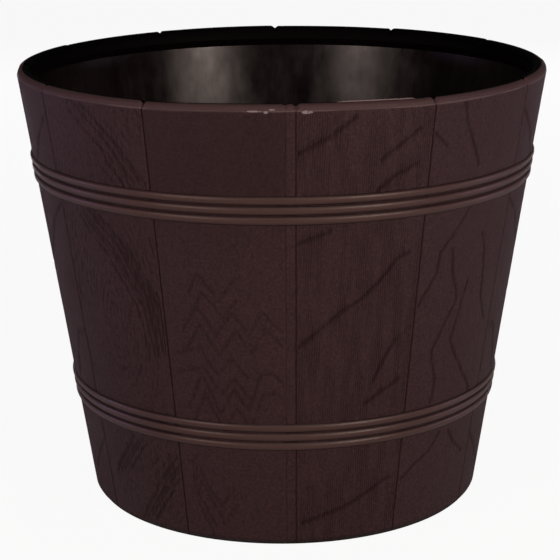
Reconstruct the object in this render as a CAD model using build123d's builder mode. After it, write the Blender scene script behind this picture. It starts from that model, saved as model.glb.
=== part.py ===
from build123d import *

# Round plastic planter moulded to look like a small barrel of twelve staves.
# It stands on the ground at the origin, +Z up, with its seam strip facing -Y.
# Lengths are in millimetres and angles in degrees, unless a name says otherwise.

import os
from math import asin, atan2, cos, degrees, hypot, sin, tan

# Overall size
top_diameter = 400.0  # widest circle, on the rounded outer edge of the rim
foot_diameter = 301.0  # the straight outside wall, carried down to the ground
pot_height = 333.0

# Rim and the lip inside it
rim_width = 10.0
rim_round = 4.0  # radius of the rim's outer and inner edges
lip_straight = 4.0  # upright band under the rounded inner edge
lip_skirt = 4.0  # lower band, which leans in
lip_skirt_lean = 0.6

# Wall, floor and foot
wall_thickness = 3.6
floor_thickness = 4.0
floor_fillet = 7.0  # between the inside of the wall and the floor
foot_recess = 10.0  # from the ground up to the underside of the floor
foot_ring_width = 5.0
foot_chamfer_height = 3.5
foot_chamfer_width = 2.5
recess_fillet = 2.0

# Grooves between the staves
stave_count = 12
groove_width = 2.2
groove_depth = 1.4
seam_strip_width = 7.0  # between the two grooves of the front joint
seam_strip_recess = 0.5
front_angle = -90.0

# Hoops, each made of round ribs side by side
hoop_heights = (88.0, 259.6)  # middle of each hoop above the ground
hoop_rib_count = 3
hoop_rib_height = 7.2
hoop_rib_crown = 1.3
hoop_base = 0.5  # how far the valleys between the ribs stand off the wall
hoop_root = 2.0  # how deep a hoop's section runs into the wall

# Stiffening under the floor
rib_count = 12
rib_width = 2.4
rib_depth = 6.5
ring_rib_radius = 105.0
hub_radius = 16.0
hub_wall = 3.0
gate_radius = 3.0  # moulding gate at the middle of the underside
gate_height = 1.2

# Drain holes through the floor
drain_count = 4
drain_circle_radius = 70.0
drain_first_angle = 45.0
drain_hole_radius = 6.5
drain_boss_wall = 3.5
drain_chamfer = 0.8

# Plug that closes a drain hole from inside the pot
plug_clearance = 0.3  # all round its shank
plug_flange_radius = 12.0
plug_flange_height = 2.5
plug_flange_round = 0.8
plug_overhang = 0.8  # the shank ends this far below the drain boss
plug_shank_wall = 2.0
plug_shank_chamfer = 1.0
plug_crown = 3.0  # solid top of the shank, over its hollow
tab_width = 13.0
tab_thickness = 3.2
tab_height = 10.0
tab_hole_radius = 2.5
tab_round = 0.8
tab_root = 1.0  # how deep the tab's foot runs into the flange

# Sizes that follow from the ones above
top_radius = top_diameter / 2
foot_radius = foot_diameter / 2
outer_edge = (top_radius - rim_round, pot_height - rim_round)
inner_edge = (top_radius - rim_width + rim_round, pot_height - rim_round)
edge_run = outer_edge[0] - foot_radius
wall_lean = atan2(edge_run, outer_edge[1]) + asin(rim_round / hypot(edge_run, outer_edge[1]))
wall_end = (outer_edge[0] + rim_round * cos(wall_lean), outer_edge[1] - rim_round * sin(wall_lean))
lip_radius = top_radius - rim_width
lip_bottom = inner_edge[1] - lip_straight - lip_skirt
floor_top = foot_recess + floor_thickness
foot_outer_radius = foot_radius - foot_chamfer_width
foot_inner_radius = foot_outer_radius - foot_ring_width
stave_angle = 360 / stave_count
rib_start = hub_radius - hub_wall / 2
rib_end = foot_inner_radius + foot_ring_width / 2
drain_boss_radius = drain_hole_radius + drain_boss_wall
drain_boss_bottom = foot_recess - rib_depth
plug_shank_radius = drain_hole_radius - plug_clearance
plug_shank_bottom = drain_boss_bottom - plug_overhang


def outer_radius(height):
    """Radius of the straight outside wall at a height above the ground."""
    return foot_radius + height * tan(wall_lean)


def inner_radius(height):
    """Radius of the inside wall at a height above the ground."""
    return outer_radius(height) - wall_thickness


def wall_point(height, out):
    """A point of the section that stands off the outside wall, square to it."""
    return (outer_radius(height) + out * cos(wall_lean), height - out * sin(wall_lean))


def over_the_rim(first_point):
    """Outside wall from a first point up, and over the rim to the top of its lip."""
    Line(first_point, wall_end)
    CenterArc(outer_edge, rim_round, -degrees(wall_lean), 90 + degrees(wall_lean))
    Line((outer_edge[0], pot_height), (inner_edge[0], pot_height))
    CenterArc(inner_edge, rim_round, 90, 90)


# Section of the body: wall, rim with its lip, floor and foot ring
foot_corner = (outer_radius(foot_chamfer_height), foot_chamfer_height)
lip_step = inner_radius(lip_bottom) - (lip_radius - lip_skirt_lean)
with BuildSketch(Plane.XZ) as body_section:
    with BuildLine():
        over_the_rim(foot_corner)
        Polyline(
            (lip_radius, inner_edge[1]),
            (lip_radius, inner_edge[1] - lip_straight),
            (lip_radius - lip_skirt_lean, lip_bottom),
            (inner_radius(lip_bottom - lip_step), lip_bottom - lip_step),
            (inner_radius(floor_top), floor_top),
            (0, floor_top),
            (0, foot_recess),
            (foot_inner_radius, foot_recess),
            (foot_inner_radius, 0),
            (foot_outer_radius, 0),
            foot_corner,
        )
    make_face()
    floor_corner = (inner_radius(floor_top), floor_top)
    fillet(body_section.vertices().sort_by_distance(floor_corner)[0], floor_fillet)
    recess_corner = (foot_inner_radius, foot_recess)
    fillet(body_section.vertices().sort_by_distance(recess_corner)[0], recess_fillet)

# Grooves between the staves run up the wall, over the rim and stop at the lip
groove_start = wall_point(-groove_width, 0)
groove_clear = 1.0  # how far a groove's cutter stands off the surface
groove_spread = groove_width / 2 * (1 + groove_clear / groove_depth)
with BuildLine(Plane.XZ) as groove_path:
    over_the_rim(groove_start)
groove_plane = Plane(
    groove_path.line @ 0,
    x_dir=(cos(wall_lean), 0, -sin(wall_lean)),
    z_dir=groove_path.line % 0,
)

with BuildPart() as stave_groove:
    with BuildSketch(groove_plane):
        with BuildLine():
            Polyline(
                (groove_clear, -groove_spread),
                (-groove_depth, 0),
                (groove_clear, groove_spread),
                close=True,
            )
        make_face()
    sweep(path=groove_path.line)

# The front joint is a pair of grooves with a slightly sunken strip between them
strip_half = seam_strip_width / 2
strip_shoulder = groove_width / 2 * (1 - seam_strip_recess / groove_depth)
with BuildPart() as seam_groove:
    with BuildSketch(groove_plane) as seam_section:
        with BuildLine():
            Polyline(
                (groove_clear, strip_half + groove_spread),
                (-groove_depth, strip_half),
                (-seam_strip_recess, strip_half - strip_shoulder),
                (-seam_strip_recess, strip_shoulder - strip_half),
                (-groove_depth, -strip_half),
                (groove_clear, -strip_half - groove_spread),
                close=True,
            )
        make_face()
    sweep(path=groove_path.line)


def hoop_outline(middle):
    """Section of one hoop: round ribs one above the other, rooted in the wall."""
    first = -hoop_rib_count * hoop_rib_height / 2
    valleys = [middle + first + i * hoop_rib_height for i in range(hoop_rib_count + 1)]
    for low, high in zip(valleys[:-1], valleys[1:]):
        crown = wall_point((low + high) / 2, hoop_base + hoop_rib_crown)
        ThreePointArc(wall_point(low, hoop_base), crown, wall_point(high, hoop_base))
    Polyline(
        wall_point(valleys[-1], hoop_base),
        wall_point(valleys[-1], -hoop_root),
        wall_point(valleys[0], -hoop_root),
        wall_point(valleys[0], hoop_base),
    )


# Moulded body of the pot, all one piece
with BuildPart() as pot_shell:
    add(body_section.sketch)
    revolve(axis=Axis.Z)
    with PolarLocations(0, stave_count - 1, front_angle + stave_angle, 360 - stave_angle):
        add(stave_groove.part, mode=Mode.SUBTRACT)
    with PolarLocations(0, 1, front_angle):
        add(seam_groove.part, mode=Mode.SUBTRACT)
    # Hoops run over the grooves
    for middle in hoop_heights:
        with BuildSketch(Plane.XZ):
            with BuildLine():
                hoop_outline(middle)
            make_face()
        revolve(axis=Axis.Z)
    # Radial ribs, a ring rib and a hub stiffen the floor from below
    with BuildSketch(Plane.XY.offset(foot_recess)):
        Circle(ring_rib_radius + rib_width / 2)
        Circle(ring_rib_radius - rib_width / 2, mode=Mode.SUBTRACT)
        with PolarLocations(0, rib_count):
            with Locations(((rib_start + rib_end) / 2, 0)):
                Rectangle(rib_end - rib_start, rib_width)
    extrude(amount=-rib_depth)
    # The hub is a ring round the moulding gate, and each drain hole has a boss
    with BuildSketch(Plane.XY.offset(foot_recess)):
        Circle(hub_radius)
        Circle(hub_radius - hub_wall, mode=Mode.SUBTRACT)
        with PolarLocations(drain_circle_radius, drain_count, drain_first_angle):
            Circle(drain_boss_radius)
    extrude(amount=-rib_depth)
    with BuildSketch(Plane.XY.offset(foot_recess)):
        Circle(gate_radius)
    extrude(amount=-gate_height)
    # Drain holes, eased at their inside mouth
    with Locations(Plane.XY.offset(floor_top)):
        with PolarLocations(drain_circle_radius, drain_count, drain_first_angle):
            CounterSinkHole(
                drain_hole_radius,
                drain_hole_radius + drain_chamfer,
                depth=floor_top,
                counter_sink_angle=90,
            )

# Drain plug on the Z axis: flange, hollow shank and a finger tab with an eye
flange_top = floor_top + plug_flange_height
hollow_radius = plug_shank_radius - plug_shank_wall
with BuildPart() as plug_form:
    with BuildSketch(Plane.XZ) as plug_section:
        with BuildLine():
            Polyline(
                (0, floor_top - plug_crown),
                (hollow_radius, floor_top - plug_crown),
                (hollow_radius, plug_shank_bottom),
                (plug_shank_radius - plug_shank_chamfer, plug_shank_bottom),
                (plug_shank_radius, plug_shank_bottom + plug_shank_chamfer),
                (plug_shank_radius, floor_top),
                (plug_flange_radius, floor_top),
                (plug_flange_radius, flange_top),
                (0, flange_top),
                close=True,
            )
        make_face()
        flange_corner = plug_section.vertices().sort_by_distance((plug_flange_radius, flange_top))[0]
        fillet(flange_corner, plug_flange_round)
    revolve(axis=Axis.Z)
    with BuildSketch(Plane.XZ) as tab_outline:
        with Locations((0, flange_top + (tab_height - tab_root) / 2)):
            Rectangle(tab_width, tab_height + tab_root)
        fillet(tab_outline.vertices().group_by(Axis.Y)[-1], tab_width / 2 - tab_round)
        with Locations((0, flange_top + tab_height - tab_width / 2)):
            Circle(tab_hole_radius, mode=Mode.SUBTRACT)
    extrude(amount=tab_thickness / 2, both=True)
    tab_edges = plug_form.edges().filter_by_position(Axis.Z, flange_top + tab_round, pot_height)
    fillet(tab_edges.filter_by(Axis.Y, reverse=True), tab_round)

# One file for each separate piece
os.makedirs("parts", exist_ok=True)
pot_shell.part.label = "pot_shell"
export_step(pot_shell.part, "parts/pot_shell.step")
drain_places = PolarLocations(drain_circle_radius, drain_count, drain_first_angle).locations
for number, place in enumerate(drain_places, 1):
    with BuildPart() as drain_plug:
        with Locations(place):
            add(plug_form.part)
    drain_plug.part.label = f"drain_plug_{number}"
    export_step(drain_plug.part, f"parts/drain_plug_{number}.step")
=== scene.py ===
import math

import bmesh
import bpy
from mathutils import Matrix, Vector


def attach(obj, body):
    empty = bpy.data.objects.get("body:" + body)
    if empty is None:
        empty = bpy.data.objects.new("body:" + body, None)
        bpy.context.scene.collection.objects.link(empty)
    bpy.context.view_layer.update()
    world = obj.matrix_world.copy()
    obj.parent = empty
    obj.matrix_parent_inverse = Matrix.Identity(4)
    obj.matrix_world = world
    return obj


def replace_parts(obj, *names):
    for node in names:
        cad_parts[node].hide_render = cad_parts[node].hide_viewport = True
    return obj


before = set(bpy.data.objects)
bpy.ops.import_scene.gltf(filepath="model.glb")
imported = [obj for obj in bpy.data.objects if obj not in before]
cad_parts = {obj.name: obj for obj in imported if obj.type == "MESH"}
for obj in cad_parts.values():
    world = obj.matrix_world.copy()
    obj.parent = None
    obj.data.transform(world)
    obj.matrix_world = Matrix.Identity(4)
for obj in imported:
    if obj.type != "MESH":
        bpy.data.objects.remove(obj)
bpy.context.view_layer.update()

scene = bpy.context.scene
print("frame loaded")

# Sizes that the pieces share, in metres and degrees
pot = {
    "topRadius": 0.200,
    "footRadius": 0.1505,  # the straight wall carried down to the ground
    "height": 0.333,
    "wall": 0.0036,
    "rimWidth": 0.010,
    "rimRound": 0.004,
    "footEdge": 0.148,
    "footInner": 0.143,
    "footChamfer": 0.0035,
    "recess": 0.010,
    "floorTop": 0.014,
    "floorFillet": 0.007,
    "lipStraight": 0.0030,
    "lipSkirt": 0.0030,
    "lipLean": 0.0006,
    "skin": 0.0020,  # how far the staves' skin reaches into the wall
    "holeCircle": 0.070,
    "holeRadius": 0.0065,
    "holeAngles": (45, 135, 225, 315),
    "frontRise": 0.0012,  # the rim stands this much higher at the front
    "riseEnd": 0.883,  # cosine of the angle from the front where that ends
}

edgeRun = pot["topRadius"] - pot["rimRound"] - pot["footRadius"]
edgeRise = pot["height"] - pot["rimRound"]
lean = math.atan2(edgeRun, edgeRise) + math.asin(pot["rimRound"] / math.hypot(edgeRun, edgeRise))


def wallRadius(height, out=0.0):
    return pot["footRadius"] + height * math.tan(lean) + out / math.cos(lean)


def frontRise(degrees):
    # how far the rim is raised at an angle from the front
    t = (math.cos(math.radians(degrees)) - pot["riseEnd"]) / (1 - pot["riseEnd"])
    t = min(1.0, max(0.0, t))
    return pot["frontRise"] * t * t * (3 - 2 * t)


def arc(centre, radius, start, end, steps):
    angles = [math.radians(start + (end - start) * i / steps) for i in range(steps + 1)]
    return [(centre[0] + radius * math.cos(a), centre[1] + radius * math.sin(a)) for a in angles]


# The outside of the wall from the foot, over the rim and down to the lip, as (radius, height) points
footCorner = (wallRadius(pot["footChamfer"]), pot["footChamfer"])
outerEdge = (pot["topRadius"] - pot["rimRound"], edgeRise)
innerEdge = (pot["topRadius"] - pot["rimWidth"] + pot["rimRound"], edgeRise)
rimArc = arc(outerEdge, pot["rimRound"], -math.degrees(lean), 90, 14)
lipArc = arc(innerEdge, pot["rimRound"], 90, 180, 12)
outerSection = [(pot["footEdge"], 0.0), footCorner] + rimArc + lipArc
lengths = [math.dist(a, b) for a, b in zip(outerSection[:-1], outerSection[1:])]
sectionLength = sum(lengths)
wallTop = lengths[0] + lengths[1]  # length along the section where the rim's rounding starts


def alongWall(height):
    # length along the section up to a height on the wall
    return lengths[0] + (height - pot["footChamfer"]) / math.cos(lean)


def around(radius, degrees, height):
    # a point on a level circle about the pot's axis
    a = math.radians(degrees)
    return (radius * math.cos(a), radius * math.sin(a), height)


def linkNew(name, mesh):
    piece = bpy.data.objects.new(name, mesh)
    scene.collection.objects.link(piece)
    return piece


def solidMesh(name, points, faces):
    mesh = bpy.data.meshes.new(name)
    mesh.from_pydata(points, [], faces)
    shape = bmesh.new()
    shape.from_mesh(mesh)
    bmesh.ops.recalc_face_normals(shape, faces=shape.faces)
    shape.to_mesh(mesh)
    shape.free()
    return mesh


def lineMesh(name, strokes):
    # loose edges along each stroke, which the node trees read as lines
    points, edges = [], []
    for stroke in strokes:
        start = len(points)
        points += stroke
        edges += [(start + i, start + i + 1) for i in range(len(stroke) - 1)]
    mesh = bpy.data.meshes.new(name)
    mesh.from_pydata(points, edges, [])
    return linkNew(name, mesh)


def turned(name, section, steps, closed):
    # a section of (radius, height) points turned round the Z axis
    points, faces, rings = [], [], []
    for radius, height in section:
        if radius < 1e-7:
            rings.append([len(points)] * steps)
            points.append((0, 0, height))
            continue
        rings.append(list(range(len(points), len(points) + steps)))
        for i in range(steps):
            a = 2 * math.pi * i / steps
            points.append((radius * math.cos(a), radius * math.sin(a), height))
    pairs = list(zip(rings[:-1], rings[1:]))
    if closed:
        pairs.append((rings[-1], rings[0]))
    for low, high in pairs:
        for i in range(steps):
            j = (i + 1) % steps
            corners = [low[i], low[j], high[j], high[i]]
            faces.append([c for k, c in enumerate(corners) if c != corners[k - 1]])
    mesh = solidMesh(name, points, faces)
    mesh.shade_smooth()
    return linkNew(name, mesh)


def joined(name, pieces):
    mesh = bpy.data.meshes.new(name)
    whole = bmesh.new()
    for piece in pieces:
        whole.from_mesh(piece.data)
    whole.to_mesh(mesh)
    whole.free()
    for piece in pieces:
        bpy.data.objects.remove(piece)
    mesh.shade_smooth()
    return linkNew(name, mesh)


# Small helpers for node trees
def addNode(tree, kind, inputs=None, **settings):
    made = tree.nodes.new(kind)
    for key, value in settings.items():
        setattr(made, key, value)
    for key, value in (inputs or {}).items():
        if isinstance(value, bpy.types.NodeSocket):
            tree.links.new(value, made.inputs[key])
        else:
            made.inputs[key].default_value = value
    return made


def calc(tree, operation, *values):
    return addNode(tree, "ShaderNodeMath", dict(enumerate(values)), operation=operation).outputs[0]


def times(tree, first, *others):
    for other in others:
        first = calc(tree, "MULTIPLY", first, other)
    return first


def plus(tree, first, *others):
    for other in others:
        first = calc(tree, "ADD", first, other)
    return first


def less(tree, first, second):
    return calc(tree, "SUBTRACT", first, second)


def vectorCalc(tree, operation, *values):
    return addNode(tree, "ShaderNodeVectorMath", dict(enumerate(values)), operation=operation).outputs


def ramp(tree, value, low, high, start=0.0, end=1.0, kind="SMOOTHSTEP"):
    inputs = {"Value": value, "From Min": low, "From Max": high, "To Min": start, "To Max": end}
    return addNode(tree, "ShaderNodeMapRange", inputs, interpolation_type=kind, clamp=True).outputs[0]


def xyz(tree, x=0.0, y=0.0, z=0.0):
    return addNode(tree, "ShaderNodeCombineXYZ", {0: x, 1: y, 2: z}).outputs[0]


def noise(tree, vector, scale=1.0, detail=2.0, roughness=0.5):
    inputs = {"Vector": vector, "Scale": scale, "Detail": detail, "Roughness": roughness}
    return addNode(tree, "ShaderNodeTexNoise", inputs, noise_dimensions="3D").outputs[0]


def split(tree, vector):
    return addNode(tree, "ShaderNodeSeparateXYZ", {0: vector}).outputs


def mixed(tree, amount, colour, other):
    return addNode(tree, "ShaderNodeMix", {"Factor": amount, 6: colour, 7: other}, data_type="RGBA").outputs[2]


def attribute(tree, name, output="Fac"):
    return addNode(tree, "ShaderNodeAttribute", attribute_name=name).outputs[output]


def newTree(name, sockets):
    tree = bpy.data.node_groups.new(name, "GeometryNodeTree")
    for label, kind, value in sockets:
        socket = tree.interface.new_socket(label, in_out="INPUT", socket_type="NodeSocket" + kind)
        if value is not None:
            socket.default_value = value
    tree.interface.new_socket("Geometry", in_out="OUTPUT", socket_type="NodeSocketGeometry")
    tree.nodes.new("NodeGroupInput")
    return tree


def endTree(tree, geometry, material):
    real = addNode(tree, "GeometryNodeRealizeInstances", {0: geometry})
    painted = addNode(tree, "GeometryNodeSetMaterial", {0: real.outputs[0], "Material": material})
    out = tree.nodes.new("NodeGroupOutput")
    tree.links.new(painted.outputs[0], out.inputs[0])


def baked(tree, name, values):
    # runs the tree on an empty holder and keeps the result as a plain mesh
    holder = linkNew(name + "Holder", bpy.data.meshes.new(name + "Holder"))
    modifier = holder.modifiers.new("shape", "NODES")
    modifier.node_group = tree
    sockets = {s.name: s.identifier for s in tree.interface.items_tree if s.in_out == "INPUT"}
    for label, value in values.items():
        modifier[sockets[label]] = value
    depsgraph = bpy.context.evaluated_depsgraph_get()
    seen = holder.evaluated_get(depsgraph)
    mesh = bpy.data.meshes.new_from_object(seen, preserve_all_data_layers=True, depsgraph=depsgraph)
    mesh.name = name
    holder.modifiers.clear()
    bpy.data.objects.remove(holder)
    return linkNew(name, mesh)


# Finishes. Colours are linear, sizes are in metres
finish = {
    "brown": (0.0350, 0.0146, 0.0152, 1),
    "grainToneAndCutShade": (0.0190, 0.0060, 0.0066, 1),
    "footContactShadow": (0.0120, 0.0050, 0.0052, 1),
    "hoopBrown": (0.0580, 0.0270, 0.0225, 1),
    "hoopPaintedValleyShade": (0.0070, 0.0030, 0.0030, 1),
    "innerBrown": (0.0030, 0.0010, 0.0012, 1),
    "lipBlack": (0.0014, 0.0008, 0.0009, 1),
    "band": (0.0600, 0.0300, 0.0300, 1),
    "paintedHighlightLine": (0.0950, 0.0560, 0.0540, 1),
    # pale colour of the flash: a painted highlight on its top edge
    "flashHighlight": (0.190, 0.120, 0.115, 1),
    "underBrown": (0.0200, 0.0092, 0.0096, 1),
    "rubberBlack": (0.0150, 0.0150, 0.0160, 1),
    "scuff": (0.230, 0.175, 0.172, 1),
    "sheen": (1.0, 0.86, 0.80, 1),  # tint of every plastic's reflections
    "footHeights": (0.0015, 0.0060),  # the painted contact shadow at the foot ends between these heights
    "bandBlend": (-0.0002, 0.0003),  # the band starts between these lengths from the top of the wall
    "lineMiddle": 0.0002,  # the painted highlight line's place, counted the same way
    "lineWidths": (0.0002, 0.0007),  # it fades between these distances from its middle
    "brownEdge": 0.1960,  # the brown ends at this radius on the rim's top
    "brownBlend": 0.0002,
    "brownUneven": 0.0012,
    "bareHeights": (0.3270, 0.3275),  # bare plastic starts between these heights
    "scuffRadius": 0.1996,
    "grainRough": 0.56,
    "hoopRough": 0.38,
    "innerRough": 0.31,
    "rubberRough": 0.62,
}
# Scale, detail and roughness of each noise
noises = {
    "fine": (900.0, 3.0, 0.6),
    "speck": (520.0, 2.0, 0.6),
    "broad": (14.0, 3.0, 0.5),
    "line": (26.0, 2.0, 0.5),
    "ragged": (420.0, 3.0, 0.7),
    "edge": (240.0, 3.0, 0.6),
    "hoopBroad": (20.0, 3.0, 0.5),
    "hoopFine": (700.0, 2.0, 0.5),
    "streaks": (1.0, 4.0, 0.65),
    "innerBroad": (11.0, 4.0, 0.6),
    "dust": (60.0, 5.0, 0.7),
    "dents": (35.0, 2.0, 0.5),
    "plainBroad": (30.0, 3.0, 0.5),
}
# Pale scuffs on the rim: degrees from the front, height, half length and half height
scuffs = [
    (-6.9, 0.3298, 0.0075, 0.0009),
    (-4.7, 0.3292, 0.0022, 0.0014),
    (-3.5, 0.3309, 0.0030, 0.0008),
    (3.2, 0.3290, 0.0056, 0.0017),
]


def newMaterial(name):
    material = bpy.data.materials.new(name)
    material.use_nodes = True
    tree = material.node_tree
    shader = tree.nodes["Principled BSDF"]
    shader.inputs["Specular Tint"].default_value = finish["sheen"]
    place = tree.nodes.new("ShaderNodeTexCoord").outputs["Object"]
    return material, tree, shader, place


def tinted(tree, colour, amount, low, high):
    # the colour, made up to low or high times as bright by a 0 to 1 value
    return mixed(tree, amount, [c * low for c in colour[:3]] + [1], [c * high for c in colour[:3]] + [1])


def setInputs(tree, shader, colour, rough, shine):
    for key, value in (("Base Color", colour), ("Roughness", rough), ("Specular IOR Level", shine)):
        if isinstance(value, bpy.types.NodeSocket):
            tree.links.new(value, shader.inputs[key])
        else:
            shader.inputs[key].default_value = value


def bumped(tree, shader, height, distance, strength):
    bump = addNode(tree, "ShaderNodeBump", {"Height": height, "Distance": distance, "Strength": strength})
    tree.links.new(bump.outputs[0], shader.inputs["Normal"])


def scuffed(tree, place):
    # where a point is near a scuff and a fine noise lets it through
    pale = 0.0
    for angle, height, long, high in scuffs:
        offset = vectorCalc(tree, "SUBTRACT", place, around(finish["scuffRadius"], angle - 90, height))["Vector"]
        shrunk = vectorCalc(tree, "MULTIPLY", offset, (1 / long, 1 / long, 1 / high))["Vector"]
        away = vectorCalc(tree, "LENGTH", shrunk)["Value"]
        pale = calc(tree, "MAXIMUM", pale, ramp(tree, away, 0.5, 1.0, 1.0, 0.0))
    return ramp(tree, times(tree, pale, noise(tree, place, *noises["ragged"])), 0.30, 0.46)


def grainPlastic():
    material, tree, shader, place = newMaterial("woodGrainPlastic")
    part = split(tree, place)
    speck = ramp(tree, noise(tree, place, *noises["speck"]), 0.34, 0.66, kind="LINEAR")
    broad = noise(tree, place, *noises["broad"])
    # darker where the skin is carved: the grain's own darker tone, and painted shade in the cuts and joint grooves.
    # The foot gets a painted contact shadow
    deep = plus(tree, attribute(tree, "carve"), times(tree, less(tree, broad, 0.5), 0.06))
    deep = ramp(tree, deep, 0.03, 0.55)
    colour = mixed(tree, deep, tinted(tree, finish["brown"], speck, 0.68, 1.32), finish["grainToneAndCutShade"])
    colour = mixed(tree, ramp(tree, part[2], *finish["footHeights"], 1.0, 0.0), colour, finish["footContactShadow"])
    # the smooth band of the rim is painted paler, as painted light on it, with a painted highlight line along its
    # lower edge
    pastTop = less(tree, split(tree, attribute(tree, "UVMap", "Vector"))[1], wallTop)
    colour = mixed(tree, ramp(tree, pastTop, *finish["bandBlend"]), colour, finish["band"])
    fromLine = calc(tree, "ABSOLUTE", less(tree, pastTop, finish["lineMiddle"]))
    lineShare = ramp(tree, noise(tree, place, *noises["line"]), 0.38, 0.58, 0.25, 1.0)
    line = times(tree, ramp(tree, fromLine, *finish["lineWidths"], 1.0, 0.0), lineShare)
    colour = mixed(tree, line, colour, finish["paintedHighlightLine"])
    colour = mixed(tree, scuffed(tree, place), colour, finish["scuff"])
    # bare black plastic on the rim's top and inner rounding
    flat = vectorCalc(tree, "LENGTH", xyz(tree, part[0], part[1], 0.0))["Value"]
    jagged = times(tree, less(tree, noise(tree, place, *noises["edge"]), 0.5), finish["brownUneven"])
    inward = ramp(tree, plus(tree, flat, jagged), finish["brownEdge"] - finish["brownBlend"],
                  finish["brownEdge"] + finish["brownBlend"], 1.0, 0.0)
    bare = times(tree, inward, ramp(tree, part[2], *finish["bareHeights"]))
    colour = mixed(tree, bare, colour, finish["lipBlack"])
    rough = ramp(tree, plus(tree, times(tree, deep, 0.2), broad), 0.2, 1.0,
                 finish["grainRough"] - 0.06, finish["grainRough"] + 0.12, "LINEAR")
    setInputs(tree, shader, colour, rough, ramp(tree, bare, 0.0, 1.0, 0.20, 0.02))
    bumped(tree, shader, noise(tree, place, *noises["fine"]), 0.0006, 0.9)
    return material


def hoopPlastic():
    material, tree, shader, place = newMaterial("satinHoopPlastic")
    broad = noise(tree, place, *noises["hoopBroad"])
    # painted shade in the valleys between the ribs
    valley = ramp(tree, attribute(tree, "dip"), 0.45, 0.95)
    colour = mixed(tree, valley, tinted(tree, finish["hoopBrown"], broad, 0.86, 1.14), finish["hoopPaintedValleyShade"])
    rough = ramp(tree, broad, 0.2, 0.8, finish["hoopRough"] - 0.05, finish["hoopRough"] + 0.08, "LINEAR")
    setInputs(tree, shader, colour, rough, 0.34)
    bumped(tree, shader, noise(tree, place, *noises["hoopFine"]), 0.0003, 0.5)
    return material


def innerPlastic():
    material, tree, shader, place = newMaterial("glossyInnerPlastic")
    part = split(tree, place)
    upright = xyz(tree, times(tree, part[0], 60.0), times(tree, part[1], 60.0), times(tree, part[2], 14.0))
    streaks = noise(tree, upright, *noises["streaks"])
    broad = noise(tree, place, *noises["innerBroad"])
    dust = noise(tree, place, *noises["dust"])
    rough = ramp(tree, plus(tree, times(tree, dust, 0.5), times(tree, streaks, 0.5)), 0.36, 0.62,
                 finish["innerRough"] - 0.05, finish["innerRough"] + 0.07, "LINEAR")
    shine = ramp(tree, times(tree, streaks, broad), 0.14, 0.34, 0.20, 0.42)
    setInputs(tree, shader, tinted(tree, finish["innerBrown"], broad, 0.8, 1.3), rough, shine)
    dents = plus(tree, noise(tree, place, *noises["dents"]), times(tree, streaks, 0.25))
    bumped(tree, shader, dents, 0.0006, 0.25)
    return material


def plainPlastic(name, colour, rough, speckle, shine=0.4):
    material, tree, shader, place = newMaterial(name)
    broad = noise(tree, place, *noises["plainBroad"])
    setInputs(tree, shader, tinted(tree, colour, broad, 0.85, 1.15), rough, shine)
    bumped(tree, shader, noise(tree, place, speckle, 2.0, 0.5), 0.0001, 0.5)
    return material


grainFinish = grainPlastic()
hoopFinish = hoopPlastic()
innerFinish = innerPlastic()
underFinish = plainPlastic("undersidePlastic", finish["underBrown"], 0.5, 600.0)
lipFinish = plainPlastic("lipPlastic", finish["lipBlack"], 0.65, 500.0, 0.04)
flashFinish = plainPlastic("flashPlastic", finish["flashHighlight"], 0.5, 800.0, 0.3)
rubberFinish = plainPlastic("plugRubber", finish["rubberBlack"], finish["rubberRough"], 900.0)
print("finishes made")

# The skin of one stave: the outside wall with its grain, and the rim down to the lip
skin = {
    "columns": 180,
    "rows": 300,
    "rimRows": 0.12,  # share of the rows that the rim takes
    "edgeShare": 0.030,  # share of a stave's width, at each side, that has closer columns
    "edgeColumns": 0.060,
    "grooveWidth": 0.0022,
    "grooveDepth": 0.0014,
    "wallWidth": 0.45,  # share of the groove's width and depth on the wall, and what the rim adds to it
    "rimWidth": 0.75,
    "wallDepth": 0.8,
    "rimDepth": 0.6,
    "rimStart": 0.001,  # the rim's share comes in from this far below the top of the wall to this far past it
    "rimFull": 0.004,
    "footFade": (0.0005, 0.005),  # the grooves start between these lengths from the foot
    # how dark a groove is painted for its depth: painted shade in the joint grooves
    "groovePaintedShade": 0.34,
    "ledge": 0.0003,  # how far the grained wall stands proud of the rim's plain band
    "ledgeRun": 0.0004,
    "ledgeEnd": (0.002, 0.007),
    "plainRun": 0.0006,  # the grain ends within this length, and between these distances from a joint
    "plainEdge": (0.0010, 0.0020),
    "liftEdge": 0.005,
    "swell": 0.0006,
    "swellEdge": 0.012,
    "driftAcross": 2.0,
    "driftAlong": 4.0,
    "ringStretch": 0.42,  # lengths along the stave count this much round a knot, so its rings are long
    "shadeHeights": (0.19, 0.275),  # a stave's shade comes in between these heights
    "riseRun": 0.030,  # the front's rise starts this far below the top of the wall
    "riseFull": 0.002,
    "riseFade": (0.006, 0.001),  # and ends between these lengths from the lip
    "pinSeed": 40.0,  # added to the stave's seed for the fine dashes
    "stripHalf": 0.0035,
    "stripColumns": 24,
    "stripGroove": 0.8,  # share of the staves' groove at the seam strip
    "stripRecess": 0.0002,
    "stripPins": 0.00004,
    "leftSeam": 0.5,  # share of the groove's depth at each side of the seam strip
    "rightSeam": 0.9,
}
# Noise on the skin: scale across and along the stave, and what is added to the stave's seed
fields = {
    "waver": (26.0, 15.0, 0.0),
    "patch": (30.0, 14.0, 9.0),
    "stripe": (150.0, 22.0, 3.0),
    "swell": (11.0, 11.0, 0.0),
}
sectionLine = lineMesh("sectionLine", [[(r, 0, h) for r, h in outerSection]])


def flatStroke(stroke):
    # a stroke of (degrees, millimetres) laid out flat: across the stave and along the section
    return [(math.radians(d) * wallRadius(h / 1000), alongWall(h / 1000), 0) for d, h in stroke]


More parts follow.
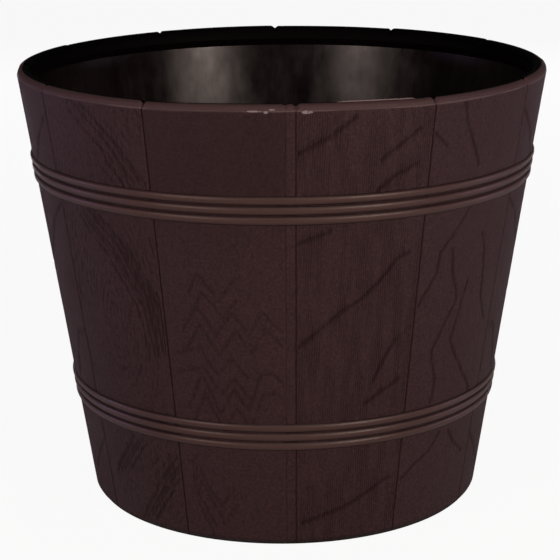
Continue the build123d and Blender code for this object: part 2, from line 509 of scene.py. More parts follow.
skinTree = newTree("staveSkin", [
    ("Section", "Object", None),
    ("Veins", "Object", None),
    ("Middle Angle", "Float", 0.0),
    ("Span Angle", "Float", 0.0),
    ("Left Inset", "Float", 0.0),
    ("Right Inset", "Float", 0.0),
    ("Columns", "Int", 100),
    ("Rows", "Int", 100),
    ("Groove Width", "Float", 0.0022),
    ("Groove Depth", "Float", 0.0014),
    ("Left Share", "Float", 1.0),
    ("Right Share", "Float", 1.0),
    ("Recess", "Float", 0.0),
    ("Lift", "Float", 0.0),
    ("Shade", "Float", 0.0),
    ("Stripe Pitch", "Float", 0.00165),
    ("Stripe Depth", "Float", 0.0),
    ("Pin Pitch", "Float", 0.0023),
    ("Pin Length", "Float", 0.022),
    ("Pin Depth", "Float", 0.0002),
    ("Vein Width", "Float", 0.0019),
    ("Vein Depth", "Float", 0.0006),
    ("Vein Break", "Float", 0.5),
    ("Halo", "Float", 0.2),
    ("Ring Depth", "Float", 0.0),
    ("Ring Pitch", "Float", 0.0042),
    ("Knot Across", "Float", 0.0),
    ("Knot Along", "Float", 0.17),
    ("Waver", "Float", 0.0015),
    ("Seed", "Float", 0.0),
    ("Material", "Material", None),
])


def growSkinTree(tree):
    given = tree.nodes["Group Input"].outputs

    def field(u, v, name):
        across, along, shift = fields[name]
        return xyz(tree, times(tree, u, across), times(tree, v, along), plus(tree, given["Seed"], shift))

    grid = addNode(tree, "GeometryNodeMeshGrid", {
        "Size X": 1.0, "Size Y": 1.0, "Vertices X": given["Columns"], "Vertices Y": given["Rows"],
    })
    place = split(tree, tree.nodes.new("GeometryNodeInputPosition").outputs[0])
    # columns lie closer by the grooves, rows lie closer on the rim
    inFromEdge = less(tree, 0.5, calc(tree, "ABSOLUTE", place[0]))
    nearEdge = ramp(tree, inFromEdge, 0.0, skin["edgeColumns"], 0.0, skin["edgeShare"], "LINEAR")
    inner = ramp(tree, inFromEdge, skin["edgeColumns"], 0.5, 0.0, 0.5 - skin["edgeShare"], "LINEAR")
    across = times(tree, calc(tree, "SIGN", place[0]), less(tree, 0.5, plus(tree, nearEdge, inner)))
    up = plus(tree, place[1], 0.5)
    onWall = ramp(tree, up, 0.0, 1 - skin["rimRows"], 0.0, wallTop, "LINEAR")
    onRim = ramp(tree, up, 1 - skin["rimRows"], 1.0, 0.0, sectionLength - wallTop, "LINEAR")
    along = plus(tree, onWall, onRim)
    # where the section is at that length, and the way out of it
    sectionInfo = addNode(tree, "GeometryNodeObjectInfo", {"Object": given["Section"]})
    section = addNode(tree, "GeometryNodeMeshToCurve", {0: sectionInfo.outputs["Geometry"]})
    sample = addNode(tree, "GeometryNodeSampleCurve", {"Curves": section.outputs[0], "Length": along}, mode="LENGTH")
    spot, way = split(tree, sample.outputs["Position"]), split(tree, sample.outputs["Tangent"])
    radius = spot[0]
    half = times(tree, given["Span Angle"], 0.5, radius)
    left, right = less(tree, given["Left Inset"], half), less(tree, half, given["Right Inset"])
    x = plus(tree, left, times(tree, plus(tree, across, 0.5), less(tree, right, left)))
    toLeft, toRight = less(tree, x, left), less(tree, right, x)
    toEdge = calc(tree, "MINIMUM", toLeft, toRight)
    # groove flanks at both sides, fading out at the foot
    onTop = ramp(tree, along, wallTop - skin["rimStart"], wallTop + skin["rimFull"])
    reach = times(tree, given["Groove Width"], plus(tree, skin["wallWidth"], times(tree, onTop, skin["rimWidth"])))
    leftFlank = times(tree, ramp(tree, toLeft, 0.0, reach, 1.0, 0.0, "LINEAR"), given["Left Share"])
    rightFlank = times(tree, ramp(tree, toRight, 0.0, reach, 1.0, 0.0, "LINEAR"), given["Right Share"])
    flank = times(tree, calc(tree, "MAXIMUM", leftFlank, rightFlank), ramp(tree, along, *skin["footFade"]))
    depthShare = plus(tree, skin["wallDepth"], times(tree, onTop, skin["rimDepth"]))
    groove = times(tree, flank, times(tree, given["Groove Depth"], depthShare))
    # the grain wavers a little from true
    drift = times(tree, less(tree, noise(tree, field(x, along, "waver")), 0.5), given["Waver"])
    gx = plus(tree, x, times(tree, drift, skin["driftAcross"]))
    ga = plus(tree, along, times(tree, drift, skin["driftAlong"]))
    pinPlace = xyz(tree, calc(tree, "DIVIDE", gx, given["Pin Pitch"]),
                   calc(tree, "DIVIDE", ga, given["Pin Length"]), plus(tree, given["Seed"], skin["pinSeed"]))
    pins = noise(tree, pinPlace, 1.0, 1.0, 0.4)
    dashes, streaks = ramp(tree, pins, 0.50, 0.66), ramp(tree, pins, 0.34, 0.58)
    # patches where the dashes stand close, and others that stay smooth
    patches = ramp(tree, noise(tree, field(x, along, "patch")), 0.38, 0.62, 0.30, 1.0)
    pinCut = times(tree, dashes, patches, given["Pin Depth"])
    # fine upright stripes that come and go
    stripePhase = times(tree, calc(tree, "DIVIDE", gx, given["Stripe Pitch"]), 2 * math.pi)
    stripeShare = ramp(tree, noise(tree, field(gx, ga, "stripe")), 0.36, 0.60, 0.25, 1.0)
    stripes = times(tree, ramp(tree, calc(tree, "SINE", stripePhase), -0.4, 0.8), stripeShare)
    stripeCut = times(tree, stripes, given["Stripe Depth"])
    # veins follow the drawn lines, broken by the grain, with dashes close about them
    veinInfo = addNode(tree, "GeometryNodeObjectInfo", {"Object": given["Veins"]})
    near = addNode(tree, "GeometryNodeProximity", {0: veinInfo.outputs["Geometry"]}, target_element="EDGES")
    tree.links.new(xyz(tree, gx, ga, 0.0), near.inputs["Sample Position"])
    distance, width = near.outputs["Distance"], given["Vein Width"]
    vein = ramp(tree, distance, times(tree, width, 0.25), width, 1.0, 0.0)
    halo = ramp(tree, distance, 0.0, times(tree, width, 4.0), 1.0, 0.0)
    ticks = calc(tree, "MAXIMUM", times(tree, streaks, 0.6), stripes)
    broken = plus(tree, less(tree, 1.0, given["Vein Break"]), times(tree, ticks, given["Vein Break"]))
    haloCut = times(tree, halo, dashes, given["Halo"])
    veinCut = times(tree, plus(tree, times(tree, vein, broken), haloCut), given["Vein Depth"])
    # growth rings round a knot
    kx = less(tree, gx, given["Knot Across"])
    ka = times(tree, less(tree, ga, given["Knot Along"]), skin["ringStretch"])
    away = calc(tree, "SQRT", plus(tree, times(tree, kx, kx), times(tree, ka, ka)))
    ringPhase = times(tree, calc(tree, "DIVIDE", away, given["Ring Pitch"]), 2 * math.pi)
    rings = ramp(tree, calc(tree, "SINE", ringPhase), -0.1, 0.9)
    ringCut = times(tree, rings, times(tree, patches, streaks), given["Ring Depth"])
    # no grain in the rim's plain band or in the grooves
    belowBand = ramp(tree, along, wallTop - skin["plainRun"], wallTop, 1.0, 0.0)
    plain = times(tree, belowBand, ramp(tree, toEdge, *skin["plainEdge"]))
    cut = times(tree, plus(tree, plus(tree, pinCut, stripeCut), plus(tree, veinCut, ringCut)), plain)
    ledgeLow, ledgeHigh = skin["ledgeEnd"]
    ledge = times(tree, ramp(tree, along, wallTop, wallTop + skin["ledgeRun"], 0.0, skin["ledge"]),
                  ramp(tree, along, wallTop + ledgeLow, wallTop + ledgeHigh, 1.0, 0.0))
    lift = times(tree, given["Lift"], onTop, ramp(tree, toEdge, 0.0, skin["liftEdge"]))
    swell = times(tree, less(tree, noise(tree, field(x, along, "swell"), 1.0, 1.0), 0.5), skin["swell"])
    swell = times(tree, swell, ramp(tree, toEdge, 0.0, skin["swellEdge"]))
    sunk = plus(tree, plus(tree, cut, groove), plus(tree, ledge, given["Recess"]))
    out = less(tree, plus(tree, swell, lift), sunk)
    # wrap the flat skin round the pot
    r = plus(tree, radius, times(tree, way[2], out))
    z = less(tree, spot[2], times(tree, way[0], out))
    angle = plus(tree, given["Middle Angle"], calc(tree, "DIVIDE", x, radius))
    # the rim is a little higher at the front
    toFront = ramp(tree, times(tree, calc(tree, "SINE", angle), -1.0), pot["riseEnd"], 1.0)
    fadeStart, fadeEnd = skin["riseFade"]
    atRim = times(tree, ramp(tree, along, wallTop - skin["riseRun"], wallTop + skin["riseFull"]),
                  ramp(tree, along, sectionLength - fadeStart, sectionLength - fadeEnd, 1.0, 0.0))
    z = plus(tree, z, times(tree, toFront, atRim, pot["frontRise"]))
    wrapped = xyz(tree, times(tree, r, calc(tree, "COSINE", angle)), times(tree, r, calc(tree, "SINE", angle)), z)
    mapped = addNode(tree, "GeometryNodeStoreNamedAttribute", {
        "Geometry": grid.outputs["Mesh"], "Name": "UVMap", "Value": xyz(tree, x, along, 0.0),
    }, data_type="FLOAT2", domain="CORNER")
    # depth of the carving in millimetres, which the finish paints darker: the grain's own tone, and painted shade in
    # the cuts and grooves. Some staves are darker towards the rim
    depth = calc(tree, "DIVIDE", plus(tree, cut, times(tree, groove, skin["groovePaintedShade"])), 0.001)
    shadeStart, shadeEnd = skin["shadeHeights"]
    shade = times(tree, given["Shade"], ramp(tree, along, alongWall(shadeStart), alongWall(shadeEnd)))
    noted = addNode(tree, "GeometryNodeStoreNamedAttribute", {
        "Geometry": mapped.outputs[0], "Name": "carve", "Value": plus(tree, depth, times(tree, shade, belowBand)),
    }, data_type="FLOAT", domain="POINT")
    bent = addNode(tree, "GeometryNodeSetPosition", {"Geometry": noted.outputs[0], "Position": wrapped})
    smooth = addNode(tree, "GeometryNodeSetShadeSmooth", {0: bent.outputs[0]})
    endTree(tree, smooth.outputs[0], given["Material"])


growSkinTree(skinTree)

# Grain of each kind of stave. Veins are strokes of (degrees from the middle, millimetres up),
# and each echo repeats them all, moved by that much
cathedral = {
    "veins": [
        [(-10.6, 108), (-6.2, 137), (-1.8, 108), (1.5, 127), (5.1, 112), (7.9, 138), (10.9, 139), (13.7, 132)],
        [(-13.3, 148), (-6.2, 157), (-2.3, 137), (1.0, 148), (4.8, 135)],
        [(-11.7, 50), (-9.5, 62), (-4.2, 28), (-0.1, 45)],
        [(-11.1, 42), (-6.2, 12)],
        [(-11.9, 63), (-8.9, 72)],
        [(-10.6, 167), (-6.7, 187), (-2.3, 165), (1.5, 183), (5.4, 167), (8.7, 187), (13.1, 173)],
        [(-8.4, 195), (-5.6, 213), (-1.2, 192), (2.1, 207)],
    ],
    "echoes": [(0.6, -14)],
    "Pin Depth": 0.00014, "Pin Pitch": 0.0015, "Pin Length": 0.005,
    "Vein Depth": 0.00040, "Vein Width": 0.0024, "Stripe Depth": 0.00004,
    "Vein Break": 0.6, "Halo": 0.05, "Waver": 0.0032, "Columns": 190, "Shade": 0.24,
}
pinstripe = {
    "veins": [
        [(-14.0, 299), (-11.3, 304), (-6.9, 311), (-2.1, 324)],
        [(3.6, 293), (7.6, 303), (12.0, 313)],
        [(3.2, 271), (7.2, 281), (12.0, 288)],
        [(-14.0, 235), (-9.6, 240), (-6.5, 244)],
        [(-13.5, 157), (-7.8, 172), (-3.4, 183), (1.0, 192), (5.4, 205), (8.9, 219), (12.0, 223)],
        [(5.4, 128), (7.6, 144), (10.2, 157)],
        [(3.6, 111), (8.9, 121), (12.4, 127)],
        [(-12.2, 17), (-5.2, 24), (1.0, 31), (6.3, 39), (10.7, 47), (12.4, 48)],
    ],
    "echoes": [],
    "Pin Depth": 0.00008, "Pin Pitch": 0.00165, "Pin Length": 0.016, "Vein Depth": 0.00085, "Vein Width": 0.0023,
    "Stripe Depth": 0.00036, "Vein Break": 0.7, "Halo": 0.25, "Columns": 290, "Rows": 230,
}
knotted = {
    "veins": [
        [(-4.0, 328), (4.3, 303), (9.8, 278)],
        [(-6.1, 248), (2.1, 223), (9.2, 187), (10.9, 148)],
        [(-4.5, 250), (3.8, 225), (10.9, 187), (12.5, 150)],
        [(-9.5, 43), (-0.1, 73)],
        [(7.6, 43), (14.2, 65)],
        [(-0.1, 12), (7.6, 40)],
    ],
    "echoes": [(1.3, -3), (-1.4, -7), (2.8, -2), (4.2, -4)],
    "Vein Break": 0.5, "Halo": 0.25,
    "Pin Depth": 0.00022, "Pin Pitch": 0.0018, "Pin Length": 0.007, "Vein Depth": 0.00044, "Vein Width": 0.0016,
    "Ring Depth": 0.00026, "Ring Pitch": 0.0034, "Knot Across": -0.001, "Knot Along": 0.172, "Stripe Depth": 0.00008,
}
meander = {
    "veins": [
        [(-7.5, 328), (-6.1, 313), (-3.4, 293), (-1.2, 277)],
        [(-14.4, 307), (-11.1, 297)],
        [(-1.8, 248), (-5.6, 232), (-9.5, 218), (-10.0, 202), (-14.4, 180)],
        [(-5.6, 218), (-5.1, 202), (-3.1, 187), (-2.3, 178), (-5.6, 160),
         (-8.4, 143), (-8.1, 135), (-6.1, 118), (-6.7, 100)],
        [(1.0, 190), (-0.6, 170), (-2.3, 147), (1.0, 130), (4.3, 117), (7.6, 108), (9.8, 98)],
        [(4.3, 225), (6.5, 210), (7.3, 192), (8.1, 175), (11.4, 155)],
        [(-1.8, 73), (-5.1, 60), (-10.0, 52), (-13.9, 43)],
        [(2.1, 72), (5.4, 60), (10.9, 48)],
    ],
    "echoes": [],
    "Vein Break": 0.45, "Halo": 0.15,
    "Pin Depth": 0.00012, "Pin Pitch": 0.0017, "Pin Length": 0.010, "Vein Depth": 0.00056, "Vein Width": 0.0021,
    "Stripe Depth": 0.00010,
}
sloping = {
    "veins": [
        [(-14.5, 311), (-9.0, 294), (-3.6, 272)],
        [(-14.5, 245), (-9.0, 232), (-3.6, 211), (4.0, 190), (12.0, 178)],
        [(-14.5, 147), (-11.5, 147), (-7.1, 123), (-4.4, 104)],
        [(-14.5, 59), (-3.6, 27)],
        [(3.0, 160), (8.0, 140), (13.0, 108)],
        [(0.0, 330), (6.0, 300), (13.0, 284)],
    ],
    "echoes": [(1.4, -3)],
    "Vein Break": 0.5, "Halo": 0.2,
    "Pin Depth": 0.00010, "Pin Pitch": 0.0017, "Vein Depth": 0.00045, "Vein Width": 0.0018, "Ring Depth": 0.00012,
    "Stripe Depth": 0.00008,
    "Knot Across": 0.02, "Knot Along": 0.05,
}

# Staves from the seam strip round: middle angle from the strip, grain and whether it is mirrored
staves = [
    (15, pinstripe, False), (45, meander, False), (75, sloping, False), (105, cathedral, True),
    (135, pinstripe, True), (165, knotted, True), (195, meander, True), (225, cathedral, False),
    (255, pinstripe, False), (285, sloping, True), (315, knotted, False), (345, cathedral, False),
]
# How many millimetres each stave stands proud at the rim
lifts = (0.1, -0.25, 0.2, 0.0, 0.3, -0.2, 0.15, -0.1, 0.3, -0.15, 0.1, -0.2)


def makeStave(number, middle, grain, mirrored):
    side = -1 if mirrored else 1
    strokes = [[(side * (d + across), h + up) for d, h in stroke]
               for across, up in [(0, 0)] + grain["echoes"] for stroke in grain["veins"]]
    veins = lineMesh(f"veins{number}", [flatStroke(stroke) for stroke in strokes])
    first, last = number == 1, number == len(staves)
    values = {
        "Section": sectionLine, "Veins": veins,
        "Middle Angle": math.radians(middle - 90), "Span Angle": math.radians(360 / len(staves)),
        "Left Inset": skin["stripHalf"] if first else 0.0, "Right Inset": skin["stripHalf"] if last else 0.0,
        "Left Share": skin["rightSeam"] if first else 1.0, "Right Share": skin["leftSeam"] if last else 1.0,
        "Columns": skin["columns"], "Rows": skin["rows"],
        "Groove Width": skin["grooveWidth"], "Groove Depth": skin["grooveDepth"],
        "Lift": lifts[number - 1] / 1000, "Seed": 3.7 * number, "Material": grainFinish,
    }
    values.update({key: value for key, value in grain.items() if key not in ("veins", "echoes")})
    piece = baked(skinTree, f"stave{number}", values)
    bpy.data.objects.remove(veins)
    return piece


skins = [makeStave(number, *stave) for number, stave in enumerate(staves, 1)]

noVeins = lineMesh("noVeins", [[(0, -1, 0), (0.01, -1, 0)]])
skins.append(baked(skinTree, "seamStrip", {
    "Section": sectionLine, "Veins": noVeins, "Middle Angle": math.radians(-90), "Span Angle": 0.0,
    "Left Inset": -skin["stripHalf"], "Right Inset": -skin["stripHalf"],
    "Columns": skin["stripColumns"], "Rows": skin["rows"],
    "Groove Width": skin["grooveWidth"] * skin["stripGroove"],
    "Groove Depth": skin["grooveDepth"] * skin["stripGroove"], "Recess": skin["stripRecess"],
    "Left Share": skin["leftSeam"], "Right Share": skin["rightSeam"],
    "Pin Depth": skin["stripPins"], "Vein Depth": 0.0, "Seed": 71.0, "Material": grainFinish,
}))
bpy.data.objects.remove(noVeins)
bpy.data.objects.remove(sectionLine)
for piece in skins:
    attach(piece, "pot")
print("staves made:", len(skins))


# The body behind the skin: lip, inside wall, floor, underside and foot
core = {
    "lipGap": 0.0002,  # how far its hidden outside keeps clear of the skin at the rim
    "wallGap": 0.0006,
    "innerTop": 0.0019,
    "outerTop": 0.0018,
    "shoulder": 0.002,
    "footRise": 0.004,
    "footTuck": 0.0012,
    "recessRound": 0.002,
    "rings": (0.0, 0.02, 0.055, 0.085, 0.115),
    "climbSteps": 40,
    "turns": 288,
    "drillSides": 48,
    "drillDepth": 0.03,
    "drillMiddle": 0.012,
    "underGap": 0.0002,  # faces this far below the floor's top and within this radius are the underside
    "underReach": 0.1436,
    "footFaces": 0.0005,
    "lipFaces": 0.0001,
    "sharp": 35,
}
lipBottom = edgeRise - pot["lipStraight"] - pot["lipSkirt"]


def insideRadius(height):
    return wallRadius(height) - pot["wall"]


def bodySection():
    lipRadius = pot["topRadius"] - pot["rimWidth"]
    low = lipBottom - (insideRadius(lipBottom) - (lipRadius - pot["lipLean"]))
    turn = 90 - math.degrees(lean)  # angle of the floor's corner, which its fillet rounds
    fillet = pot["floorFillet"]
    tangentRun = fillet * math.tan(math.radians(turn / 2))
    centre = (insideRadius(pot["floorTop"]) - tangentRun, pot["floorTop"] + fillet)
    rounded = arc(centre, fillet, -90, -math.degrees(lean), 8)
    bottom, steps = rounded[-1][1], core["climbSteps"]
    heights = [bottom + (low - bottom) * i / steps for i in range(1, steps + 1)]
    deep, shoulder = pot["skin"], core["shoulder"]
    hidden = [
        (lipRadius, edgeRise), (lipRadius + deep + core["lipGap"], edgeRise),
        (lipRadius + deep + core["lipGap"], edgeRise + core["innerTop"]),
        (pot["topRadius"] - deep - core["wallGap"], edgeRise + core["outerTop"]),
        (wallRadius(edgeRise - shoulder, -deep), edgeRise - shoulder),
        (wallRadius(core["footRise"], -deep), core["footRise"]),
        (pot["footEdge"] - core["footTuck"], core["footTuck"]), (pot["footEdge"], 0.0),
    ]
    corner = core["recessRound"]
    recessCorner = arc((pot["footInner"] - corner, pot["recess"] - corner), corner, 0, 90, 4)
    return ([(r, pot["floorTop"]) for r in core["rings"]] + rounded + [(insideRadius(h), h) for h in heights]
            + [(lipRadius - pot["lipLean"], lipBottom), (lipRadius, edgeRise - pot["lipStraight"])]
            + hidden + [(pot["footInner"], 0.0)] + recessCorner
            + [(r, pot["recess"]) for r in reversed(core["rings"])])


def isUnder(centre):
    below = centre.z < pot["floorTop"] - core["underGap"] and centre.xy.length < core["underReach"]
    return below or centre.z < core["footFaces"]


body = turned("potBody", bodySection(), core["turns"], False)
for angle in pot["holeAngles"]:
    bpy.ops.mesh.primitive_cylinder_add(
        vertices=core["drillSides"], radius=pot["holeRadius"], depth=core["drillDepth"],
        location=around(pot["holeCircle"], angle, core["drillMiddle"]))
    drill = bpy.context.object
    cut = body.modifiers.new("hole", "BOOLEAN")
    cut.operation, cut.solver, cut.object = "DIFFERENCE", "EXACT", drill
    depsgraph = bpy.context.evaluated_depsgraph_get()
    bored = bpy.data.meshes.new_from_object(body.evaluated_get(depsgraph))
    body.modifiers.clear()
    body.data = bored
    bpy.data.objects.remove(drill)
body.data.name = "potBody"
body.data.shade_smooth()
body.data.set_sharp_from_angle(angle=math.radians(core["sharp"]))
body.data.materials.clear()
for look in (innerFinish, underFinish, lipFinish):
    body.data.materials.append(look)
for face in body.data.polygons:
    face.material_index = 1 if isUnder(face.center) else 2 if face.center.z > lipBottom - core["lipFaces"] else 0
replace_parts(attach(body, "pot"), "pot_shell")
print("body made")

# Thin moulding flash left on the rim's inner edge. Its pale pink colour is a painted highlight, for the light caught
# on its top edge
flash = {
    "start": 8.0, "end": 27.0, "radius": 0.1944, "foot": 0.3326, "root": 0.0010, "height": 0.0011,
    "ragged": 0.0004, "thick": 0.0003, "steps": 90, "fadeIn": 7, "fadeOut": 9, "topIn": 0.2, "rootOut": 1.6,
}


def makeFlash():
    points, faces = [], []
    for i in range(flash["steps"] + 1):
        t = i / flash["steps"]
        fromFront = flash["start"] + t * (flash["end"] - flash["start"])
        foot = flash["foot"] + frontRise(fromFront)
        fade = min(1.0, t * flash["fadeIn"], (1 - t) * flash["fadeOut"])
        jag = math.sin(i * 1.7) * math.sin(i * 0.61 + 1) + 0.5 * math.sin(i * 3.1)
        top, root = foot + fade * (flash["height"] + flash["ragged"] * 0.5 * jag), foot - flash["root"]
        for share, height in ((0, root), (flash["topIn"], top), (1, top), (flash["rootOut"], root)):
            points.append(around(flash["radius"] + share * flash["thick"], fromFront - 90, height))
        if i:
            k = 4 * i
            faces += [(k - 4 + j, k + j, k + (j + 1) % 4, k - 4 + (j + 1) % 4) for j in range(4)]
    faces += [(0, 1, 2, 3), tuple(len(points) - j for j in range(1, 5))]
    mesh = solidMesh("rimFlash", points, faces)
    mesh.materials.append(flashFinish)
    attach(linkNew("rimFlash", mesh), "pot")


makeFlash()

# Hoops: three round ribs each
hoop = {
    "heights": (0.088, 0.2596), "ribs": 3, "ribHeight": 0.0072, "crown": 0.0023, "crownPower": 2.2,
    "stand": -0.0005, "root": 0.0022, "steps": 16, "turns": 360, "sharp": 50,
}


def hoopSection(middle):
    points = []
    first = middle - hoop["ribs"] * hoop["ribHeight"] / 2
    for rib in range(hoop["ribs"]):
        low = first + rib * hoop["ribHeight"]
        for i in range(hoop["steps"]):
            t = i / hoop["steps"]
            height = low + t * hoop["ribHeight"]
            rise = hoop["crown"] * (1 - abs(2 * t - 1) ** hoop["crownPower"])
            points.append((wallRadius(height, hoop["stand"] + rise), height))
    last = first + hoop["ribs"] * hoop["ribHeight"]
    ends = ((last, hoop["stand"]), (last, -hoop["root"]), (first, -hoop["root"]))
    return points + [(wallRadius(height, out), height) for height, out in ends]


def noteDips(piece):
    # 0 on each rib's crown and 1 in the valleys, for the finish's painted shade in the valleys
    rings = [abs(2 * i / hoop["steps"] - 1) for _ in range(hoop["ribs"]) for i in range(hoop["steps"])] + [1, 1, 1]
    dips = piece.data.attributes.new("dip", "FLOAT", "POINT")
    dips.data.foreach_set("value", [value for value in rings for _ in range(hoop["turns"])])


for name, height in zip(("lowerHoop", "upperHoop"), hoop["heights"]):
    piece = turned(name, hoopSection(height), hoop["turns"], True)
    noteDips(piece)
    piece.data.set_sharp_from_angle(angle=math.radians(hoop["sharp"]))
    piece.data.materials.append(hoopFinish)
    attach(piece, "pot")
print("hoops made")

# Stiffening under the floor: radial ribs, a ring rib, the hub with its gate mark, and the drain bosses
under = {
    "ribs": 12, "ribWidth": 0.0024, "ribDepth": 0.0065, "ringRadius": 0.105, "hubRadius": 0.016, "hubWall": 0.003,
    "gateRadius": 0.003, "gateHeight": 0.0012, "bossWall": 0.0035, "bossDrop": 0.0002, "ribEnd": 0.1455,
    "edge": 0.0004, "intoFloor": 0.0005, "turns": 64, "gateTurns": 32, "sharp": 35,
}
ribLow, ribHigh = pot["recess"] - under["ribDepth"], pot["recess"] + under["intoFloor"]
ribStart = under["hubRadius"] - under["hubWall"] / 2

ribTree = newTree("floorRibs", [
    ("Rib", "Object", None), ("Count", "Int", 12), ("Start Radius", "Float", 0.0145), ("Material", "Material", None),
])
given = ribTree.nodes["Group Input"].outputs
ribInfo = addNode(ribTree, "GeometryNodeObjectInfo", {"Object": given["Rib"]})
ribRing = addNode(ribTree, "GeometryNodeMeshCircle", {"Vertices": given["Count"], "Radius": given["Start Radius"]})
ribIndex = ribTree.nodes.new("GeometryNodeInputIndex").outputs[0]
ribTurn = calc(ribTree, "MULTIPLY", ribIndex, calc(ribTree, "DIVIDE", 2 * math.pi, given["Count"]))
ribSet = addNode(ribTree, "GeometryNodeInstanceOnPoints", {
    "Points": ribRing.outputs[0], "Instance": ribInfo.outputs["Geometry"], "Rotation": xyz(ribTree, 0.0, 0.0, ribTurn),
})
endTree(ribTree, ribSet.outputs[0], given["Material"])


def ribBar():
    half, edge = under["ribWidth"] / 2, under["edge"]
    long = under["ribEnd"] - ribStart
    profile = [(-half, ribHigh), (-half, ribLow + edge), (-half + edge, ribLow),
               (half - edge, ribLow), (half, ribLow + edge), (half, ribHigh)]
    n = len(profile)
    points = [(x, y, z) for x in (0, long) for y, z in profile]
    faces = [(i, (i + 1) % n, n + (i + 1) % n, n + i) for i in range(n)]
    faces += [tuple(range(n)), tuple(range(2 * n - 1, n - 1, -1))]
    return linkNew("ribBar", solidMesh("ribBar", points, faces))


def tube(name, outer, inner, high=ribHigh):
    edge = under["edge"]
    section = [(inner, high), (inner, ribLow + edge), (inner + edge, ribLow),
               (outer - edge, ribLow), (outer, ribLow + edge), (outer, high)]
    return turned(name, section, under["turns"], True)


def gateMark():
    low, radius, edge = pot["recess"] - under["gateHeight"], under["gateRadius"], under["edge"]
    section = [(0, low), (radius - edge, low), (radius, low + edge), (radius, ribHigh), (0, ribHigh)]
    return turned("gate", section, under["gateTurns"], False)


bar = ribBar()
ribs = baked(ribTree, "floorRibBars", {
    "Rib": bar, "Count": under["ribs"], "Start Radius": ribStart, "Material": underFinish,
})
bpy.data.objects.remove(bar)
half = under["ribWidth"] / 2
extras = [ribs, tube("ringRib", under["ringRadius"] + half, under["ringRadius"] - half),
          tube("hub", under["hubRadius"], under["hubRadius"] - under["hubWall"]), gateMark()]
for angle in pot["holeAngles"]:
    boss = tube("boss", pot["holeRadius"] + under["bossWall"], pot["holeRadius"], ribHigh - under["bossDrop"])
    boss.data.transform(Matrix.Translation(around(pot["holeCircle"], angle, 0)))
    extras.append(boss)
underFrame = joined("floorRibs", extras)
underFrame.data.set_sharp_from_angle(angle=math.radians(under["sharp"]))
underFrame.data.materials.append(underFinish)
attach(underFrame, "pot")
print("underside made")

# Drain plugs keep their own shape and take the rubber finish
for number in range(1, 5):
    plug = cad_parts[f"drain_plug_{number}"]
    plug.data.materials.clear()
    plug.data.materials.append(rubberFinish)
print("plugs painted")

# Floor, light and camera
studio = {
    "floor": (0.75, 0.74, 0.74, 1), "floorWhite": 0.93, "floorLevel": -0.0002, "floorHalf": 30, "world": 0.06,
    "camera": {
        "distance": 1.4607, "height": 0.5576, "turn": 1.6, "pitch": 15.23, "pan": 0.105, "roll": 0.525,
        "focal": 124.04, "sensor": 36, "reach": 100,
    },
}
lamps = [
    # name, place, aim, width, height, power, colour
    ("keyLeft", (-1.46, -1.62, 0.92), (0, 0, 0.16), 0.58, 0.60, 14, (1.0, 0.92, 0.91)),
    ("keyRight", (1.30, -1.76, 0.92), (0, 0, 0.16), 0.58, 0.60, 24, (1.0, 0.93, 0.89)),
    ("top", (0.0, -1.6, 2.2), (0, 0, 0.15), 1.2, 0.9, 7, (1.0, 0.95, 0.92)),
    ("sideLeft", (-2.2, 0.2, 0.26), (0, 0, 0.18), 0.9, 0.5, 6, (0.66, 0.50, 1.0)),
    ("sideRight", (2.2, 0.1, 0.26), (0, 0, 0.18), 0.9, 0.5, 5, (0.80, 0.68, 1.0)),
    ("backLeft", (-1.2, 2.0, 0.26), (0, 0, 0.18), 0.7, 0.4, 16, (0.90, 0.82, 1.0)),
    ("backRight", (1.2, 2.0, 0.26), (0, 0, 0.18), 0.7, 0.4, 16, (0.94, 0.88, 1.0)),
]


def makeLamp(name, place, aim, width, height, power, colour):
    data = bpy.data.lights.new(name, "AREA")
    data.shape, data.size, data.size_y, data.energy = "RECTANGLE", width, height, power
    data.color = colour
    lamp = bpy.data.objects.new(name, data)
    scene.collection.objects.link(lamp)
    lamp.location = place
    lamp.visible_glossy = not name.startswith("back")  # the lamps behind the pot make no reflections
    lamp.rotation_euler = (Vector(aim) - Vector(place)).to_track_quat("-Z", "Y").to_euler()


for lamp in lamps:
    makeLamp(*lamp)


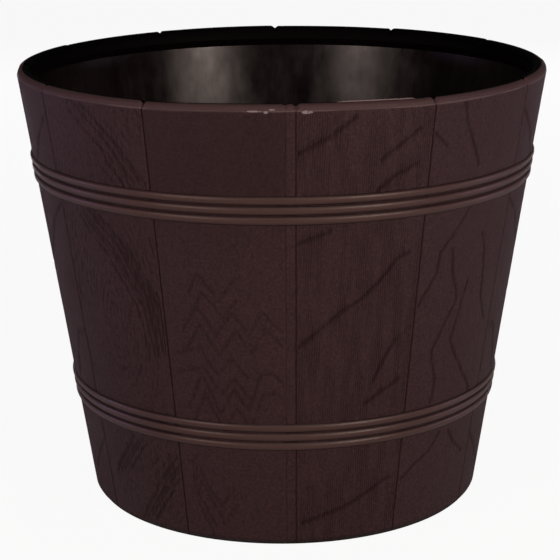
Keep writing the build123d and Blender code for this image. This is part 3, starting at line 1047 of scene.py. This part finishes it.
def makeFloor():
    material = bpy.data.materials.new("floorPaint")
    material.use_nodes = True
    tree = material.node_tree
    tree.nodes.clear()
    matte = addNode(tree, "ShaderNodeBsdfDiffuse", {"Color": studio["floor"]})
    white = addNode(tree, "ShaderNodeEmission", {"Color": (1, 1, 1, 1), "Strength": 1.0})
    seen = tree.nodes.new("ShaderNodeLightPath").outputs["Is Camera Ray"]
    share = times(tree, seen, studio["floorWhite"])
    blend = addNode(tree, "ShaderNodeMixShader", {0: share, 1: matte.outputs[0], 2: white.outputs[0]})
    # clear when it is seen from below
    clear = tree.nodes.new("ShaderNodeBsdfTransparent")
    below = tree.nodes.new("ShaderNodeNewGeometry").outputs["Backfacing"]
    sided = addNode(tree, "ShaderNodeMixShader", {0: below, 1: blend.outputs[0], 2: clear.outputs[0]})
    out = tree.nodes.new("ShaderNodeOutputMaterial")
    tree.links.new(sided.outputs[0], out.inputs[0])
    mesh = bpy.data.meshes.new("floor")
    low, half = studio["floorLevel"], studio["floorHalf"]
    corners = [(-half, -half, low), (half, -half, low), (half, half, low), (-half, half, low)]
    mesh.from_pydata(corners, [], [(0, 1, 2, 3)])
    mesh.materials.append(material)
    linkNew("floor", mesh)


makeFloor()

world = bpy.data.worlds.new("studioWorld")
scene.world = world
world.use_nodes = True
tree = world.node_tree
ground = tree.nodes["Background"]
paths = tree.nodes.new("ShaderNodeLightPath").outputs
direct = calc(tree, "MAXIMUM", paths["Is Camera Ray"], paths["Is Transmission Ray"])
strength = ramp(tree, direct, 0.0, 1.0, studio["world"], 1.0, "LINEAR")
tree.links.new(strength, ground.inputs["Strength"])
ground.inputs["Color"].default_value = (1, 1, 1, 1)

view = studio["camera"]
cameraData = bpy.data.cameras.new("camera")
cameraData.lens = view["focal"]
cameraData.sensor_width = view["sensor"]
cameraData.clip_end = view["reach"]
camera = bpy.data.objects.new("camera", cameraData)
scene.collection.objects.link(camera)
turn = math.radians(view["turn"])
camera.location = (-view["distance"] * math.sin(turn), -view["distance"] * math.cos(turn), view["height"])
camera.rotation_euler = (
    Matrix.Rotation(math.radians(view["pan"]) - turn, 3, "Z")
    @ Matrix.Rotation(math.radians(90 - view["pitch"]), 3, "X")
    @ Matrix.Rotation(math.radians(-view["roll"]), 3, "Z")
).to_euler()
scene.camera = camera
scene.view_settings.view_transform = "Standard"
print("studio set")
